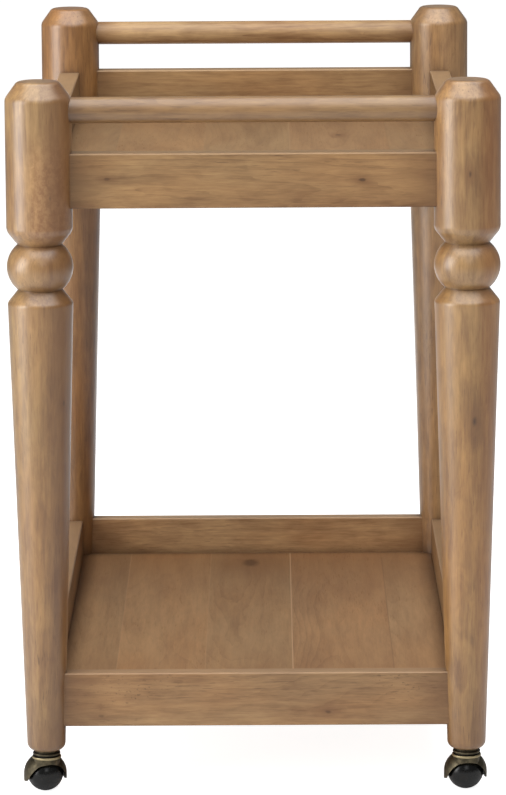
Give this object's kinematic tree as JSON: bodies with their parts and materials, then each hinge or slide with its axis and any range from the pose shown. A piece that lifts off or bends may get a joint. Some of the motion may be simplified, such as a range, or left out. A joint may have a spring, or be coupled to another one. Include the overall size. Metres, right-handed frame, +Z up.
{
  "type": "bar cart",
  "caption": "Wooden bar cart with turned legs, an upper and a lower boarded tray, round end rails and swivelling hooded ball casters.",
  "frame": {"origin": "on the floor under the middle of the cart", "axes": "+X along the width, +Y along the length from the front end to the rear end, +Z up"},
  "size_m": [0.564, 0.914, 0.832],
  "materials": {
    "leg_wood": "satin brown, turned",
    "apron_wood": "satin brown, fine straight grain",
    "rail_wood": "satin brown, turned",
    "board_wood": "satin brown, fine straight grain",
    "dowel_wood": "bare beech",
    "screw_steel": "zinc plated",
    "antique_brass": "dark antique brass with worn bright edges",
    "caster_steel": "plain bright steel",
    "washer_plastic": "natural",
    "ball_black": "polished black"
  },
  "bodies": {
    "cart": {"leg_front_left": "leg_wood", "leg_front_right": "leg_wood", "leg_rear_left": "leg_wood", "leg_rear_right": "leg_wood", "rail_front": "rail_wood", "rail_rear": "rail_wood", "upper_apron_front": "apron_wood", "upper_apron_rear": "apron_wood", "upper_apron_left": "apron_wood", "upper_apron_right": "apron_wood", "lower_apron_front": "apron_wood", "lower_apron_rear": "apron_wood", "lower_apron_left": "apron_wood", "lower_apron_right": "apron_wood", "upper_board_1": "board_wood", "upper_board_2": "board_wood", "upper_board_3": "board_wood", "upper_board_4": "board_wood", "upper_board_5": "board_wood", "lower_board_1": "board_wood", "lower_board_2": "board_wood", "lower_board_3": "board_wood", "lower_board_4": "board_wood", "lower_board_5": "board_wood", "upper_dowels": "dowel_wood", "lower_dowels": "dowel_wood", "upper_board_screws": "screw_steel", "lower_board_screws": "screw_steel", "caster_sockets": "antique_brass", "caster_thrust_washers": "washer_plastic", "caster_grip_rings": "caster_steel"},
    "caster_front_left": {"caster_hood_front_left": "antique_brass", "caster_stem_front_left": "caster_steel", "caster_axle_front_left": "caster_steel"},
    "ball_front_left": {"caster_ball_front_left": "ball_black"},
    "caster_front_right": {"caster_hood_front_right": "antique_brass", "caster_stem_front_right": "caster_steel", "caster_axle_front_right": "caster_steel"},
    "ball_front_right": {"caster_ball_front_right": "ball_black"},
    "caster_rear_left": {"caster_hood_rear_left": "antique_brass", "caster_stem_rear_left": "caster_steel", "caster_axle_rear_left": "caster_steel"},
    "ball_rear_left": {"caster_ball_rear_left": "ball_black"},
    "caster_rear_right": {"caster_hood_rear_right": "antique_brass", "caster_stem_rear_right": "caster_steel", "caster_axle_rear_right": "caster_steel"},
    "ball_rear_right": {"caster_ball_rear_right": "ball_black"}
  },
  "joints": [
    {"name": "swivel_front_left", "type": "hinge", "parent": "cart", "child": "caster_front_left", "pos_m": [-0.244, -0.419, 0.045], "axis": [0, 0, 1], "continuous": true},
    {"name": "roll_front_left", "type": "hinge", "parent": "caster_front_left", "child": "ball_front_left", "pos_m": [-0.24621, -0.41131, 0.021], "axis": [0.9613, 0.2756, 0], "continuous": true},
    {"name": "swivel_front_right", "type": "hinge", "parent": "cart", "child": "caster_front_right", "pos_m": [0.244, -0.419, 0.045], "axis": [0, 0, 1], "continuous": true},
    {"name": "roll_front_right", "type": "hinge", "parent": "caster_front_right", "child": "ball_front_right", "pos_m": [0.24316, -0.41104, 0.021], "axis": [0.9945, 0.1045, 0], "continuous": true},
    {"name": "swivel_rear_left", "type": "hinge", "parent": "cart", "child": "caster_rear_left", "pos_m": [-0.244, 0.419, 0.045], "axis": [0, 0, 1], "continuous": true},
    {"name": "roll_rear_left", "type": "hinge", "parent": "caster_rear_left", "child": "ball_rear_left", "pos_m": [-0.24234, 0.42683, 0.021], "axis": [0.9781, -0.2079, 0], "continuous": true},
    {"name": "swivel_rear_right", "type": "hinge", "parent": "cart", "child": "caster_rear_right", "pos_m": [0.244, 0.419, 0.045], "axis": [0, 0, 1], "continuous": true},
    {"name": "roll_rear_right", "type": "hinge", "parent": "caster_rear_right", "child": "ball_rear_right", "pos_m": [0.24275, 0.4269, 0.021], "axis": [0.9877, 0.1564, 0], "continuous": true}
  ]
}
